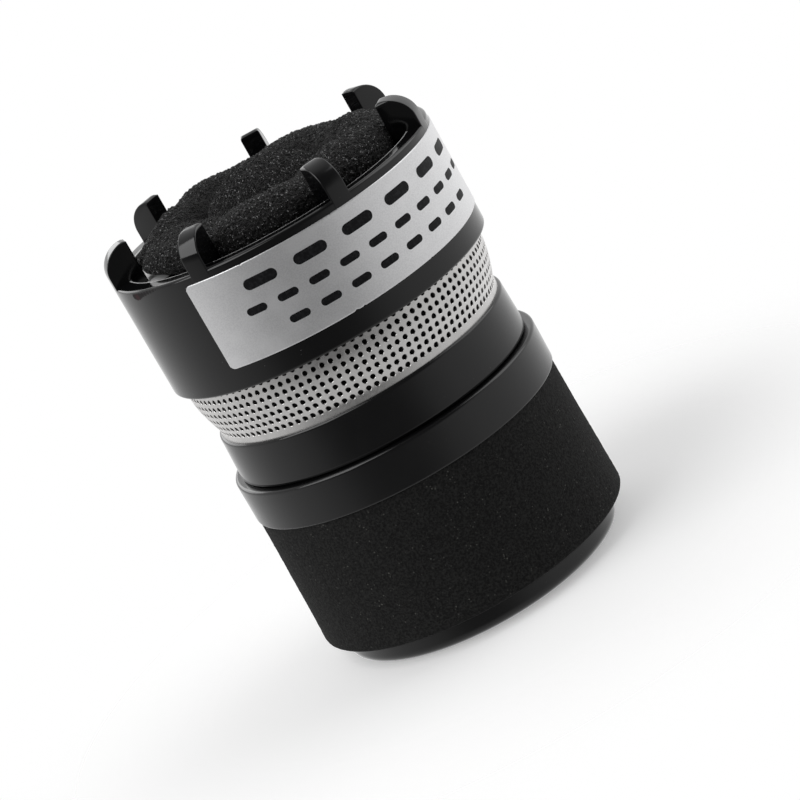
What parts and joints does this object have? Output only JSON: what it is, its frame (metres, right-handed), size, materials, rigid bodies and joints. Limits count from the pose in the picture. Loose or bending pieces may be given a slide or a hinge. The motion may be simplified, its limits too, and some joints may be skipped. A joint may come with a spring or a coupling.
{
  "type": "dynamic microphone capsule",
  "caption": "Cylindrical dynamic microphone capsule with a clawed front cap over a foam disc, a perforated port screen, stepped collars, a foam sleeve and a closed rear cup.",
  "frame": {"origin": "centre of the flat underside of the rear cup", "axes": "+Z along the capsule's axis towards the front foam; the middle of the foil label faces -Y"},
  "size_m": [0.036, 0.0361, 0.0503],
  "materials": {
    "cap_plastic": "glossy black moulded plastic",
    "cup_plastic": "glossy black moulded plastic",
    "collar_plastic": "black moulded plastic, semi-gloss",
    "housing_plastic": "black moulded plastic, semi-gloss",
    "inner_plastic": "black moulded plastic, matte",
    "foil": "silver foil with a fine brushed grain",
    "screen_steel": "bright perforated sheet",
    "grille_steel": "plain punched sheet",
    "front_foam": "open-cell foam, charcoal",
    "sleeve_foam": "fine-cell foam, black",
    "felt": "wool felt",
    "damping_cloth": "fine black cloth",
    "rubber_seal": "soft black rubber",
    "board": "brown phenolic board",
    "tinned_brass": "tinned brass",
    "iron": "plated soft iron",
    "magnet_alloy": "ground magnet alloy",
    "copper": "enamelled copper winding",
    "film": "clear polyester film",
    "lead_red": "red insulation",
    "lead_black": "black insulation"
  },
  "bodies": {
    "root": {"rear_cup": "cup_plastic", "terminal_board": "board", "terminal_lug_left": "tinned_brass", "terminal_lug_right": "tinned_brass", "terminal_rivets": "tinned_brass", "chamber_felt": "felt", "chamber_gasket": "rubber_seal", "foam_sleeve": "sleeve_foam", "lower_collar": "collar_plastic", "motor_housing": "housing_plastic", "rear_cloth": "damping_cloth", "yoke_cup": "iron", "magnet": "magnet_alloy", "pole_piece": "iron", "top_plate": "iron", "voice_coil": "copper", "diaphragm": "film", "clamp_ring": "inner_plastic", "front_cloth": "damping_cloth", "front_grille": "grille_steel", "port_cloth": "damping_cloth", "port_screen": "screen_steel", "front_cap": "cap_plastic", "foil_label": "foil", "front_foam": "front_foam", "lead_left": "lead_red", "lead_right": "lead_black"}
  },
  "joints": []
}
